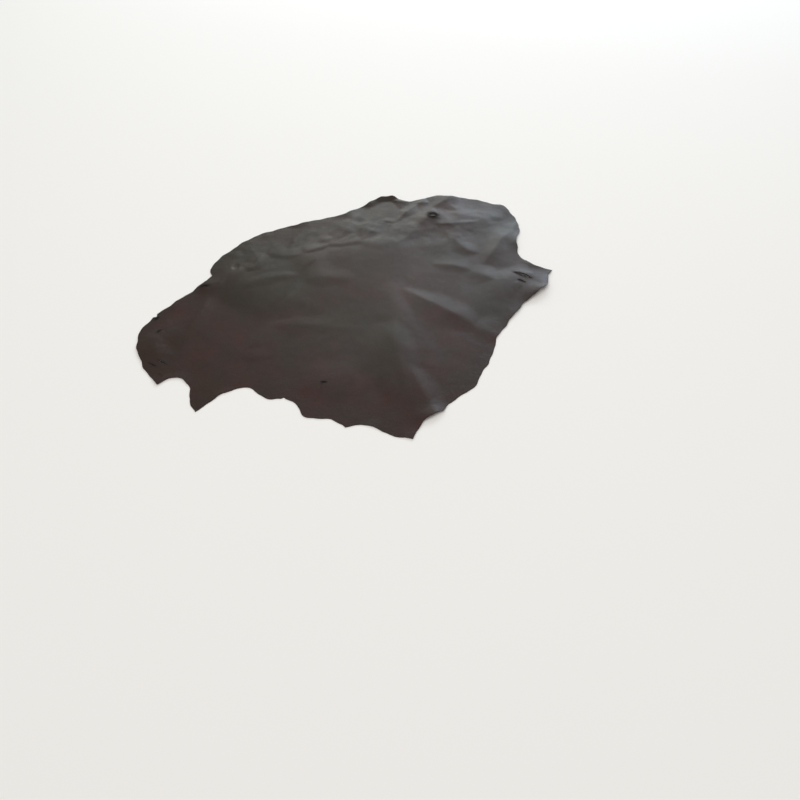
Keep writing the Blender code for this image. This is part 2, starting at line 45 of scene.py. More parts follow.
# Lengths in the tables of this dictionary are in millimetres, all others in metres.
hide = {
    "thickness": 1.3 * mm,
    "flatSize": (1.08, 0.96),       # what the skin measures pressed flat, along x and y
    "cutArea": 0.67,                # square metres inside its cut outline
    "rimStep": 11 * mm,             # spacing of the driving points along the rim
    "rimParts": 4,                  # finer points for each of those
    "openSpacing": 4.7 * mm,        # mesh spacing over the quiet middle
    "rumpleSpacing": 3.5 * mm,      # mesh spacing over the rumpled margin
    "spacingGap": 0.8,              # gap between those two meshes, in spacings of the middle one
    "latticeReach": 0.56,           # how far the meshes reach from the centre before they are trimmed
    "joinWithin": 1e-7,             # points nearer than this become one
    "rumpleLine": 150 * mm,         # y beyond which the skin is rumpled, at x = 0
    "rumpleSlope": 0.12,            # how that line falls away towards -x
    "rimClearance": 2.1 * mm,       # least way from an inner point to the rim
    "slitClearance": 1.6 * mm,      # least way from an inner point to a cut
    "settle": 1.6 * mm,             # how far the weight of the skin presses its shape down
    "touchBlend": 2.5 * mm,         # height over which a raised place eases down to the floor
    "merge": 4,                     # power that joins folds: higher keeps the valleys between them sharper
    "wander": 4.5 * mm,             # how far a crest strays from its plain course
    "wanderCell": 48 * mm,          # size of one bend of that straying
    "wanderSeeds": (21, 22),        # for the straying along x and along y
    "foot": 0.11,                   # how softly a flank meets the skin, as a share of its fold's height
    "arch": 2.6,                    # power of a fold's crest arch: higher keeps a fold level for longer
    "rumpleArch": 1.4,              # the same for rumples, which so come out as flat-sided peaks
    "bulgeOut": 0.12 * mm,          # how far the cut edge's middle stands proud of its corners
    "edgeRings": (0.22, 0.78),      # where that middle begins and ends, as shares of the thickness
    "sharpAngle": 38,               # degrees between two faces past which their shared side looks sharp
    "bendPasses": 3,                # rounds that even out the bending which the grain's colour reads
    "bendFull": 0.25 * mm,          # rise to the neighbours that counts as a full bend
    "slackMiddle": 0.35,            # how slack the skin is in the middle, where the rim has 1
    "slackReach": 60 * mm,          # how far in from the rim the slackness reaches
    # Random unevenness: share or height, size of one bump, seed.
    "rimRough": (0.25 * mm, 7 * mm, 3),
    "thickUneven": [(0.14, 34 * mm, 11), (0.06, 15 * mm, 12)],
    "shadeAndPatchRagged": (0.5, 9 * mm, 31),
    # The rim, anticlockwise from above: each row is a corner and the stretch after it.
    # name, x, y, bulge outwards as a share of the stretch, crisp
    "rim": [
        ("left lobe, far side", -537, -130, 0.11, 0),
        ("left lobe, point", -454, -309, -0.18, 1),
        ("notch, head", -397, -291, 0.10, 0),
        ("notch, near side", -379, -312, 0.07, 0),
        ("near left point", -349, -397, -0.075, 1),
        ("arch, crown", -246, -317, -0.05, 0),
        ("arch, foot", -188, -359, 0.02, 0),
        ("near nick", -148, -356, -0.16, 1),
        ("near shelf, start", -110, -406, 0.06, 0),
        ("near shelf, end", -37, -416, -0.06, 0),
        ("near middle point", -5, -445, 0.0, 1),
        ("near wave", 41, -432, 0.03, 0),
        ("near tip, left", 120, -471, 0.06, 0),
        ("near tip", 147, -477, -0.10, 1),
        ("near right bay", 216, -394, -0.09, 1),
        ("right foot", 292, -329, -0.025, 0),
        ("right jog, near", 350, -202, 0.0, 0),
        ("right jog, far", 356, -165, -0.06, 0),
        ("right lobe, near side", 509, 40, -0.06, 0),
        ("right lobe, tip", 534, 115, -0.03, 1),
        ("right lobe, far side", 474, 143, -0.05, 0),
        ("right bay, near", 448, 178, -0.05, 0),
        ("right bay, far", 466, 303, 0.04, 0),
        ("far right corner", 432, 428, -0.03, 0),
        ("far dip, right", 352, 455, 0.04, 0),
        ("far lobe, right", 296, 468, 0.04, 0),
        ("far lobe, left", 222, 477, -0.03, 0),
        ("far dip, middle", 146, 445, -0.05, 0),
        ("far crest, right", 106, 468, 0.02, 0),
        ("far crest, left", 60, 470, -0.03, 0),
        ("far shoulder", -8, 410, -0.02, 0),
        ("far bend", -68, 371, 0.01, 0),
        ("far left slope", -201, 323, 0.04, 0),
        ("far left shoulder", -313, 258, 0.05, 0),
        ("far left corner", -397, 141, 0.08, 0),
        ("left step", -393, 92, -0.03, 1),
        ("left slope", -503, -55, 0.06, 0),
    ],
    # Small waves that a hand-held knife leaves: length, height, phase in radians.
    "knifeWaves": [(173, 1.6, 0.4), (71, 1.3, 2.1), (38, 0.8, 5.0)],
    # Low swells that keep wide areas a little off the floor: name, x, y, length, width, turn, height.
    "swells": [
        ("middle of the back", 130, -150, 190, 80, 97, 4),
        ("left field", -150, -10, 180, 90, 12, 2.4),
        ("left flank", -385, -60, 130, 55, 62, 3.5),
        ("right field", 345, -40, 120, 90, -32, 4),
        ("near left field", -225, -190, 120, 70, 20, 2.5),
        ("near right field", 256, -236, 90, 60, 40, 1),
        ("far left margin", -318, 160, 120, 70, 38, 1.3),
        ("far field", 200, 230, 200, 80, 2, 3),
        ("far right margin", 310, 340, 130, 90, 8, 6),
        ("left lobe", -486, -172, 90, 62, 72, 7.5),
        ("near hole", -62, -300, 90, 72, 0, 4.6),
        ("left slope cut", -404, 48, 34, 26, 38, 5),
        ("right lobe", 460, 66, 108, 96, 28, 9.8),
        ("round the shoulder cut", 204, 366, 38, 36, 10, 7.5),
        ("beside the back ridge", 96, -350, 84, 24, 97, 1.5),
    ],
    # Long hills: a crest from one end to the other, bowed to its left, with the widths of its
    # two flanks and the radius of its top: name, x0, y0, x1, y1, bow, height, left, right, top.
    "hills": [
        ("shoulder hill, left", -388, 31, -96, 204, -8, 9, 140, 220, 24),
        ("shoulder hill, right", -190, 170, 160, 240, -4, 9, 200, 220, 30),
        ("left step hill", -424, 44, -284, 124, 0, 2.6, 76, 120, 12),
        ("back slope", 100, 20, 192, -540, -8, 3.2, 130, 190, 14),
    ],
    # Soft folds, with the same columns.
    "folds": [
        ("shoulder ridge, left end", -392, 54, -296, 118, 2, 1.6, 40, 30, 5),
        ("shoulder ridge, left rise", -306, 104, -260, 188, -4, 2.6, 40, 26, 4),
        ("shoulder ridge, left", -262, 190, -160, 180, -4, 1.7, 80, 17, 5),
        ("shoulder ridge, rise", -146, 184, -78, 232, 3, 2.2, 66, 12, 3),
        ("shoulder ridge, middle", -104, 230, 34, 236, 2, 1.4, 60, 14, 4),
        ("shoulder ridge, right", -10, 232, 134, 240, 0, 1, 40, 24, 8),
        ("right ridge", 120, 42, 330, -128, 3, 5.2, 46, 72, 5),
        ("right ridge, end", 298, -100, 386, -164, 0, 4, 58, 56, 6),
        ("right lobe ridge", 200, 152, 330, 108, 5, 3.6, 42, 44, 4),
        ("right lobe ridge, middle", 298, 118, 378, 74, 2, 3.4, 46, 40, 6),
        ("right lobe ridge, end", 346, 86, 446, 42, 2, 2.2, 46, 84, 8),
        ("right soft ridge", 275, 262, 346, 192, -14, 2.8, 34, 28, 6),
        ("right facet", 344, 134, 472, 356, 0, 7, 46, 110, 2),
        ("back ridge, far", 90, 66, 114, -150, -2, 2.3, 60, 46, 16),
        ("back ridge, near", 104, -66, 152, -392, -14, 5.4, 44, 96, 7),
        ("back ridge, tail", 124, -230, 240, -490, 0, 5.2, 40, 74, 5),
        ("left field ridge", -302, 38, -150, 92, 16, 1.1, 16, 20, 6),
        ("middle ridge", -144, 70, 2, 80, 4, 1.2, 38, 26, 8),
        ("near field ridge", -214, -108, 30, -118, 3, 2, 30, 44, 8),
        ("near field ridge, low", -274, -224, -186, -216, 0, 1.4, 30, 20, 8),
        ("left ridge", -200, -84, -262, -200, 0, 1.6, 30, 14, 4),
        ("left flank ridge", -352, 100, -424, -196, -6, 3.6, 26, 60, 5),
        ("lobe ridge", -524, -140, -450, -280, 8, 2, 30, 30, 12),
        ("lobe pucker", -497, -206, -468, -186, 2, 1.8, 14, 10, 3),
    ],
    # The rumpled margin: sharper, shorter folds that run slantwise up to the rim.
    "rumples": [
        ("rumple 1", -350, 160, -330, 200, 2, 1.2, 24, 18, 3),
        ("rumple 3", -284, 266, -238, 282, 3, 1.8, 24, 16, 4),
        ("rumple 4", -200, 192, -162, 292, 3, 2.4, 15, 26, 3),
        ("rumple 5", -128, 232, -64, 264, 3, 2.4, 26, 20, 4),
        ("rumple 6", -64, 240, 4, 388, 4, 4.2, 50, 27, 3),
        ("rumple 7", 4, 236, 74, 346, 3, 3.4, 58, 24, 3),
        ("rumple 8", 60, 354, 132, 344, -3, 2.8, 26, 14, 3),
        ("rumple 9", 98, 332, 182, 446, 2, 5.2, 30, 26, 2),
        ("rumple 10", 90, 446, 150, 446, 0, 6, 14, 44, 3),
        ("rumple 11", 158, 437, 212, 441, 0, 4.4, 24, 42, 4),
        ("rumple 12", 112, 236, 216, 378, 3, 4.8, 86, 50, 2),
        ("rumple 13", 200, 232, 262, 246, 4, 0.7, 20, 30, 3),
        ("rumple 14", 222, 325, 346, 343, 4, 1.9, 62, 14, 3),
        ("rumple 15", 208, 408, 298, 488, 0, 7, 66, 84, 3),
        ("rumple 16", 282, 334, 308, 424, 2, 3.6, 44, 60, 3),
        ("rumple 18", 350, 384, 432, 356, 4, 1, 30, 24, 4),
    ],
    # Troughs and pockets between them, with depths for heights.
    "hollows": [
        ("back trough", 66, 60, 40, -426, 20, -1.6, 46, 40, 20),
        ("left crease", -116, 150, -194, -24, -2, -1.3, 18, 16, 4),
        ("left crease, near", -182, 4, -226, -128, 0, -0.8, 20, 18, 6),
        ("left flank trough", -408, 60, -456, -126, 0, -1.2, 26, 28, 12),
        ("near crease", -298, -232, -324, -354, 6, -0.9, 12, 14, 4),
        ("pit in the shoulder", -346, 124, -324, 125, 0, -1.6, 15, 12, 4),
        ("far pocket", 188, 266, 258, 264, 0, -1.9, 50, 34, 4),
        ("far hollow", 40, 390, 92, 396, 2, -2.4, 18, 14, 5),
        ("right hollow", 300, 264, 326, 296, 0, -1, 24, 20, 6),
    ],
    # Crumpled places, as flat facets between straight creases: name, x, y, length, width, turn,
    # height and the size of a facet.
    "crumples": [
        ("far margin", 60, 320, 300, 95, 6, 1.4, 44),
        ("far left margin", -290, 190, 130, 75, 40, 1.1, 38),
        ("far right margin", 340, 300, 110, 110, 0, 1.6, 46),
        ("left lobe", -480, -200, 80, 70, 60, 0.9, 34),
        ("right lobe", 460, 90, 80, 80, 0, 1, 36),
        ("whole skin", 0, -60, 700, 500, 0, 0.5, 130),
        ("far margin, small", 110, 335, 290, 90, 4, 0.8, 21),
    ],
    # Lifted edges: name, x, y, height at the rim, reach inwards, run along the rim.
    "lifts": [
        ("notch", -405, -294, 4, 34, 42),
        ("lobe side of the notch", -455, -305, 4, 34, 30),
        ("arch, left of the crown", -300, -345, 3.5, 34, 46),
        ("near middle", 55, -440, 2.5, 30, 34),
        ("near tip", 146, -474, 3, 24, 26),
        ("near right bay", 192, -408, 5, 30, 34),
        ("right lobe, near side", 492, 26, 10, 36, 44),
        ("right side, middle", 410, -60, 3, 26, 44),
        ("right lobe, far side", 480, 140, 4, 26, 30),
        ("right bay", 450, 240, 4, 22, 34),
        ("far right corner", 430, 410, 4, 30, 40),
        ("far lobe", 268, 466, 4, 30, 40),
        ("far dip", 190, 458, 4, 28, 34),
        ("far crest", 98, 470, 10, 36, 18),
        ("far crest, left end", 60, 470, 10, 38, 28),
        ("far crest, start", 24, 438, 7, 32, 24),
        ("far shoulder", -40, 390, 5, 28, 40),
        ("far left slope, middle", -180, 331, 5, 26, 40),
        ("far left slope, end", -330, 232, 2, 26, 38),
        ("left slope", -470, -18, 3, 24, 40),
    ],
    # Places where the dye has taken redder, or greener where negative: name, x, y, length, width,
    # turn, amount.
    "dye": [
        ("left flank", -455, -70, 70, 45, 60, 0.7),
        ("left field", -75, 30, 60, 45, 0, 1.0),
        ("right ridge, near side", 190, -70, 140, 45, -38, 0.9),
        ("right flank", 250, -190, 100, 70, 40, 0.8),
        ("near left", -280, -240, 230, 120, 0, 0.5),
        ("near middle", 60, -330, 150, 60, 0, 0.4),
        ("left field, far side", -245, 6, 165, 84, 10, -1.25),
        ("back trough", 96, -200, 30, 130, 0, -0.8),
        ("shoulder", -10, 130, 90, 60, 0, -0.5),
        ("far margin", 80, 330, 260, 80, 4, -0.4),
        ("far left margin", -300, 200, 140, 80, 40, -0.7),
        ("far right", 380, 270, 110, 130, 0, -1.0),
        ("right middle", 270, -110, 120, 60, -38, 0.7),
        ("far crest", 76, 456, 60, 26, 0, -1.2),
    ],
    # Painted shade round the cuts and the nick, strong there, and faint darker, more matt patches over
    # wide stretches, with the same columns. An amount over 1 is dark all through.
    "shadesAndPatches": [
        ("far left margin", -205, 236, 135, 58, 30, 0.16),
        ("far margin, middle", 55, 298, 105, 72, 5, 0.15),
        ("left shoulder", -236, 136, 56, 34, 25, 0.13),
        ("far pocket, near side", 240, 246, 36, 16, 0, 0.17),
        ("near field, left", -130, -215, 150, 70, 0, 0.1),
        ("shoulder cut", 217, 367, 15, 16, 8, 1.3),
        ("left slope cut", -404, 45, 14, 6, 10, 1.7),
        ("near hole", -62, -305, 8, 4, 0, 1.4),
        ("lobe flay cut, near", -480, -246, 14, 3.2, -32, 0.9),
        ("lobe flay cut, middle", -455, -240, 16, 3.5, -30, 0.9),
        ("lobe flay cut, far", -488, -131, 9, 3.5, 48, 1.1),
        ("lobe nick", -506, -80, 8, 5, 60, 1.5),
        ("long cut", 449, 90, 24, 5, -32, 1.3),
        ("short cut", 444, 64, 11, 4.5, -34, 1.4),
    ],
    # Cuts right through the skin, as long pointed openings, with the height to which the far lip
    # curls up, or the near lip where negative: name, x0, y0, x1, y1, bow, width, lip.
    "slits": [
        ("long cut", 426, 103, 473, 74, 4, 5.6, 2.5),
        ("short cut", 433, 71, 455, 56, 1, 4.4, -0.8),
        ("shoulder cut", 201, 364, 231, 370, 2, 7.5, 9),
        ("near hole", -68, -304, -56, -305, 0, 2.4, -2),
        ("left slope cut", -415, 43, -392, 47, 1, 4, -2.5),
        ("lobe flay cut, near", -493, -239, -468, -254, -1, 1.5, -1.4),
        ("lobe flay cut, middle", -469, -230, -441, -247, -3, 1.7, -0.5),
        ("lobe flay cut, end", -462, -275, -446, -286, 1, 1.3, -1.2),
        ("lobe flay cut, far", -492, -136, -483, -126, 1, 2, -0.6),
    ],
    "lipReach": 17 * mm,            # how far back from a cut its lip curls
    "slitSides": 7,                 # points along each side of a cut, ends left out
    # Nicks in the rim: name, x, y, depth, width.
    "nicks": [
        ("left slope nick", -407, 74, 7, 6),
        ("lobe nick", -511, -70, 8, 7),
        ("near nick", -152, -357, 5, 5),
    ],
}


# 0 below 0, 1 above 1, and a smooth step between: s*s*(3 - 2s).
def eased(share):
    share = np.clip(share, 0, 1)
    return share * share * (3 - 2 * share)


randomGrid = {
    "cells": 64,                    # heights each way, after which the grid repeats
    "turns": (0.2, 1.3),            # radians between which its turn is drawn
    "shift": 1000,                  # cells added to each place, so that none is below 0
}


# Random heights from -1 to 1 at the corners of a turned grid: each point's place within its cell,
# from 0 to 1 each way, and the heights at the cell's four corners. Slanted, a cell is two even
# triangles.
def gridCorners(points, cell, seed, slanted):
    cells, shift = randomGrid["cells"], randomGrid["shift"]
    draw = np.random.default_rng(seed)
    heights = draw.uniform(-1, 1, (cells, cells))
    turn = draw.uniform(*randomGrid["turns"])
    x = points @ np.array([math.cos(turn), math.sin(turn)]) / cell + shift
    y = points @ np.array([-math.sin(turn), math.cos(turn)]) / cell + shift
    if slanted:
        y = y * 2 / math.sqrt(3)
        x = x - y / 2
    i, j = np.floor(x).astype(int), np.floor(y).astype(int)
    shareX, shareY = x - i, y - j
    i, j, i1, j1 = i % cells, j % cells, (i + 1) % cells, (j + 1) % cells
    return shareX, shareY, heights[i, j], heights[i1, j], heights[i, j1], heights[i1, j1]


# Smooth unevenness from -1 to 1: the four corner heights, eased from one to the next.
def unevenness(points, cell, seed):
    x, y, here, right, beyond, across = gridCorners(points, cell, seed, False)
    x, y = eased(x), eased(y)
    return (here * (1 - x) + right * x) * (1 - y) + (beyond * (1 - x) + across * x) * y


# Flat facets between straight creases, as crumpled skin has: a plane through each triangle's corners.
def facets(points, cell, seed):
    x, y, here, right, beyond, across = gridCorners(points, cell, seed, True)
    near = here + x * (right - here) + y * (beyond - here)
    far = across + (1 - y) * (right - across) + (1 - x) * (beyond - across)
    return np.where(x + y < 1, near, far)


# Runs a function on the points a few thousand at a time, so that its tables stay small.
def inBlocks(work, points, *rest):
    blocks = 32
    return np.concatenate([work(block, *rest) for block in np.array_split(points, blocks)])


# Which points lie inside a closed loop: those with an odd count of its sides to their right.
def inside(points, loop):
    x, y = points[:, :1], points[:, 1:]
    x0, y0 = loop.T
    x1, y1 = np.roll(x0, -1), np.roll(y0, -1)
    spans = (y0 > y) != (y1 > y)
    rise = np.where(y1 == y0, 1.0, y1 - y0)
    return (spans & (x < x0 + (y - y0) / rise * (x1 - x0))).sum(axis=1) % 2 == 1


# Shortest way from each point to the straight sides of a closed loop, each side's nearest place
# kept between its ends.
def distanceTo(points, loop):
    side = np.roll(loop, -1, axis=0) - loop
    awayX = points[:, :1] - loop[:, 0]
    awayY = points[:, 1:] - loop[:, 1]
    share = np.clip((awayX * side[:, 0] + awayY * side[:, 1]) / (side**2).sum(axis=1), 0, 1)
    return np.sqrt(((awayX - share * side[:, 0])**2 + (awayY - share * side[:, 1])**2).min(axis=1))


# Unit vectors that point out of an anticlockwise loop, a quarter turn right of its run.
def outwards(loop):
    run = np.roll(loop, -1, axis=0) - np.roll(loop, 1, axis=0)
    run /= np.linalg.norm(run, axis=1, keepdims=True)
    return np.column_stack([run[:, 1], -run[:, 0]])


# The driving points of the rim: each stretch is its chord plus bulge times 4t(1-t) outwards, round
# corners are eased twice by 1-2-1 averages, and the knife's sine waves move the points sideways.
def drivingRim():
    corners = np.array([row[1:3] for row in hide["rim"]]) * mm
    stretches, crisp = [], []
    for start, end, row in zip(corners, np.roll(corners, -1, axis=0), hide["rim"]):
        chord = end - start
        count = max(int(round(np.linalg.norm(chord) / hide["rimStep"])), 1)
        t = np.arange(count)[:, None] / count
        outward = np.array([chord[1], -chord[0]])
        stretches.append(start + chord * t + outward * row[3] * 4 * t * (1 - t))
        crisp += [row[4] == 1] + [False] * (count - 1)
    rim, crisp = np.vstack(stretches), np.array(crisp)
    for _ in range(2):
        even = (np.roll(rim, 1, axis=0) + 2 * rim + np.roll(rim, -1, axis=0)) / 4
        rim = np.where(crisp[:, None], rim, even)
    steps = np.linalg.norm(np.roll(rim, -1, axis=0) - rim, axis=1)
    run = np.concatenate([[0.0], np.cumsum(steps)[:-1]])
    shift = np.zeros(len(rim))
    for length, height, phase in hide["knifeWaves"]:
        turns = max(round(steps.sum() / (length * mm)), 1)
        shift += height * mm * np.sin(2 * np.pi * turns * run / steps.sum() + phase)
    return rim + outwards(rim) * shift[:, None], crisp


# The fine rim: cubic curves through the driving points, with one-sided slopes at crisp corners,
# then the small roughness of the cut and the nicks, which push the rim inwards in a V.
def fineRim(rim, crisp):
    ahead, behind = np.roll(rim, -1, axis=0) - rim, rim - np.roll(rim, 1, axis=0)
    slope = (ahead + behind) / 2
    leaving = np.where(crisp[:, None], ahead, slope)
    arriving = np.roll(np.where(crisp[:, None], behind, slope), -1, axis=0)
    t = (np.arange(hide["rimParts"]) / hide["rimParts"])[None, :, None]
    start, end = rim[:, None], np.roll(rim, -1, axis=0)[:, None]
    fine = (start * (2 * t**3 - 3 * t**2 + 1) + leaving[:, None] * (t**3 - 2 * t**2 + t)
            + end * (3 * t**2 - 2 * t**3) + arriving[:, None] * (t**3 - t**2)).reshape(-1, 2)
    height, cell, seed = hide["rimRough"]
    shift = height * unevenness(fine, cell, seed)
    for _, x, y, depth, width in hide["nicks"]:
        away = np.linalg.norm(fine - np.array([x, y]) * mm, axis=1)
        shift -= depth * mm * np.maximum(1 - away / (width * mm), 0)
    return fine + outwards(fine) * shift[:, None]


# A cut as a closed pointed oval: its middle line bows by 4t(1-t), and so does its half width.
def slitLoop(slit):
    _, x0, y0, x1, y1, bow, width, _ = slit
    start, chord = np.array([x0, y0]) * mm, np.array([x1 - x0, y1 - y0]) * mm
    left = np.array([-chord[1], chord[0]]) / np.linalg.norm(chord)
    t = np.linspace(0, 1, hide["slitSides"] + 2)[:, None]
    arch = 4 * t * (1 - t)
    middle = start + chord * t + left * bow * mm * arch
    half = left * width * mm / 2 * arch
    return np.vstack([middle - half, (middle + half)[-2:0:-1]])


# Each point's place by a bowed line from one end to the other: the share of the way along it, and
# the distance to its left.
def onLine(points, x0, y0, x1, y1, bow):
    start, chord = np.array([x0, y0]) * mm, np.array([x1 - x0, y1 - y0]) * mm
    length = np.linalg.norm(chord)
    away = points - start
    along = away @ chord / length**2
    side = away @ np.array([-chord[1], chord[0]]) / length - bow * mm * 4 * along * (1 - along)
    return along, side


# One fold's height: its crest is an arch 1 - |2t - 1|^n from end to end, its flanks fall from there
# at an even slope, less (sqrt(d*d + r*r) - r)/width, and a log-exp blend softens its foot.
def foldHeight(points, fold, power):
    _, x0, y0, x1, y1, bow, height, left, right, top = fold
    along, side = onLine(points, x0, y0, x1, y1, bow)
    width = np.where(side > 0, left, right) * mm
    arch = 1 - np.abs(2 * along - 1)**power
    tent = arch - (np.sqrt(side**2 + (top * mm)**2) - top * mm) / width
    return height * mm * hide["foot"] * np.logaddexp(0, tent / hide["foot"])


# One swell's height: a bell, exp(-a*a - b*b), over its two turned directions.
def swellHeight(points, swell):
    _, x, y, length, width, turn, height = swell
    turn = math.radians(turn)
    away = points - np.array([x, y]) * mm
    a = away @ np.array([math.cos(turn), math.sin(turn)]) / (length * mm)
    b = away @ np.array([-math.sin(turn), math.cos(turn)]) / (width * mm)
    return height * mm * np.exp(-a**2 - b**2)


# One lifted edge's height: highest at the rim, falling off by exp(-(inwards/reach)^1.5 -
# (away/run)^2), with away as the distance from its own middle.
def liftHeight(points, toRim, lift):
    _, x, y, height, reach, run = lift
    away = np.linalg.norm(points - np.array([x, y]) * mm, axis=1)
    return height * mm * np.exp(-(toRim / (reach * mm))**1.5 - (away / (run * mm))**2)


# One curled lip's height: on the far side of a cut's middle line only, or the near side where it is
# negative, highest midway along by (4t(1-t))^1.5 and falling off behind by exp(-distance/reach).
def lipHeight(points, slit):
    _, x0, y0, x1, y1, bow, _, lip = slit
    along, side = onLine(points, x0, y0, x1, y1, bow)
    back = side * np.sign(lip)
    arch = np.clip(4 * along * (1 - along), 0, 1)**1.5
    return np.where(back > 0, abs(lip) * mm * arch * np.exp(-np.maximum(back, 0) / hide["lipReach"]), 0)


# Height of the underside over the floor: folds joined as the fourth root of the sum of their fourth
# powers, plus swells, hills, hollows, facets and lifts, less the settling, smoothly cut off at 0.
def undersideHeight(points, toRim):
    height = np.full(len(points), -hide["settle"])
    for swell in hide["swells"]:
        height += swellHeight(points, swell)
    for hill in hide["hills"]:
        height += foldHeight(points, hill, hide["arch"])
    strayed = points + hide["wander"] * np.column_stack(
        [unevenness(points, hide["wanderCell"], seed) for seed in hide["wanderSeeds"]])
    joined = np.zeros(len(points))
    for fold in hide["folds"]:
        joined += foldHeight(strayed, fold, hide["arch"])**hide["merge"]
    for rumple in hide["rumples"]:
        joined += foldHeight(strayed, rumple, hide["rumpleArch"])**hide["merge"]
    height += joined**(1 / hide["merge"])
    for hollow in hide["hollows"]:
        height += foldHeight(strayed, hollow, hide["arch"])
    for seed, (*place, size) in enumerate(hide["crumples"]):
        height += swellHeight(points, place) * facets(strayed, size * mm, seed)
    for lift in hide["lifts"]:
        height += liftHeight(points, toRim, lift)
    for slit in hide["slits"]:
        height += lipHeight(points, slit)
    raised = np.maximum(height, 0)
    return raised**2 / (raised + hide["touchBlend"])


# A triangular lattice of points over the whole skin: every other row is half a spacing along.
def lattice(spacing):
    reach = hide["latticeReach"]
    y = np.arange(-reach, reach, spacing * math.sqrt(3) / 2)
    x = np.arange(-reach, reach, spacing)
    odd = np.arange(len(y)) % 2
    gridX = x[None] + spacing / 2 * odd[:, None]
    return np.column_stack([gridX.ravel(), np.repeat(y, len(x))])


# The flat pattern: the rim, the cuts and two lattices, joined into triangles by Delaunay's rule,
# with the cuts left open and every triangle facing up.
def flatPattern(rim, slits):
    rumpled, quiet = lattice(hide["rumpleSpacing"]), lattice(hide["openSpacing"])
    line, slope = hide["rumpleLine"], hide["rumpleSlope"]
    gap = hide["spacingGap"] * hide["openSpacing"]
    rumpled = rumpled[rumpled[:, 1] > line + slope * rumpled[:, 0]]
    quiet = quiet[quiet[:, 1] < line + slope * quiet[:, 0] - gap]
    inner = np.vstack([rumpled, quiet])
    inner = inner[inBlocks(inside, inner, rim)]
    keep = inBlocks(distanceTo, inner, rim) > hide["rimClearance"]
    for loop in slits:
        clear = inBlocks(distanceTo, inner, loop) > hide["slitClearance"]
        keep &= ~inBlocks(inside, inner, loop) & clear
    loops = [rim] + slits
    edges, first = [], 0
    for loop in loops:
        ring = first + np.arange(len(loop))
        edges.append(np.column_stack([ring, np.roll(ring, -1)]))
        first += len(loop)
    insideOnly = 1              # the kind of result: triangles within the rim, and no others
    points, _, faces, _, _, _ = delaunay_2d_cdt(
        np.vstack(loops + [inner[keep]]), np.vstack(edges).tolist(), [], insideOnly, hide["joinWithin"])
    points, faces = np.array(points), np.array(faces)
    middles = points[faces].mean(axis=1)
    for loop in slits:
        gone = inBlocks(inside, middles, loop)
        faces, middles = faces[~gone], middles[~gone]
    side1 = points[faces[:, 1]] - points[faces[:, 0]]
    side2 = points[faces[:, 2]] - points[faces[:, 0]]
    down = side1[:, 0] * side2[:, 1] - side1[:, 1] * side2[:, 0] < 0
    faces[down] = faces[down][:, ::-1]
    return points, faces


# Unit normals at the points of a triangle mesh, each the sum of its faces' normals.
def pointNormals(points, faces):
    corner = points[faces]
    normal = np.cross(corner[:, 1] - corner[:, 0], corner[:, 2] - corner[:, 0])
    total = np.zeros_like(points)
    for k in range(3):
        for axis in range(3):
            total[:, axis] += np.bincount(faces[:, k], normal[:, axis], len(points))
    return total / np.linalg.norm(total, axis=1, keepdims=True)


# The open border, as the start and end of each side that no other face runs back along, with the
# skin on its left.
def borderSides(faces):
    sides = np.concatenate([faces[:, [0, 1]], faces[:, [1, 2]], faces[:, [2, 0]]])
    size = faces.max() + 1
    key = sides[:, 0] * size + sides[:, 1]
    back = sides[:, 1] * size + sides[:, 0]
    return sides[~np.isin(key, back)]


# The closed sheet: underside, grain side one thickness above it along the normals, and the cut
# edge as a profile of three strips carried round every border, its middle a little proud.
def closedSheet(flat, faces, height, thick):
    under = np.column_stack([flat, height])
    over = under + pointNormals(under, faces) * thick[:, None]
    border = borderSides(faces)
    start, end = border.T
    run = flat[end] - flat[start]
    out = np.zeros_like(flat)
    for index in (start, end):
        for axis, value in ((0, run[:, 1]), (1, -run[:, 0])):
            out[:, axis] += np.bincount(index, value, len(flat))
    rimPoints = np.unique(border)
    out = out[rimPoints] / np.linalg.norm(out[rimPoints], axis=1, keepdims=True)
    proud = np.column_stack([out * hide["bulgeOut"], np.zeros(len(out))])
    rings = [under[rimPoints] * (1 - share) + over[rimPoints] * share + proud
             for share in hide["edgeRings"]]
    points = np.vstack([under, over] + rings)
    count, rimCount = len(flat), len(rimPoints)
    place = np.zeros(count, int)
    place[rimPoints] = np.arange(rimCount)
    rows = [(start, end)]
    for first in range(2 * count, len(points), rimCount):
        rows.append((first + place[start], first + place[end]))
    rows.append((count + start, count + end))
    walls = []
    for (a, b), (c, d) in zip(rows[:-1], rows[1:]):
        walls += [np.column_stack([a, b, d]), np.column_stack([a, d, c])]
    triangles = np.vstack([faces[:, ::-1], faces + count] + walls)
    grain, flesh, edge = 0, 1, 2        # the slots of the three materials
    wallCount = 2 * len(border) * (len(rows) - 1)
    slot = np.repeat([flesh, grain, edge], [len(faces), len(faces), wallCount])
    plan = np.vstack([flat, flat] + [flat[rimPoints]] * len(rings))
    return points, triangles, slot, plan


# How sharply the skin bends up or down at each point: the mean rise to its neighbours, evened out.
def bending(points, faces, passes):
    sides = np.concatenate([faces[:, [0, 1]], faces[:, [1, 2]], faces[:, [2, 0]]])
    one, other = np.concatenate([sides, sides[:, ::-1]]).T
    links = np.bincount(one, minlength=len(points))

    def average(values):
        return np.bincount(one, values[other], len(points)) / links

    bend = average(points[:, 2]) - points[:, 2]
    for _ in range(passes):
        bend = (bend + average(bend)) / 2
    return bend


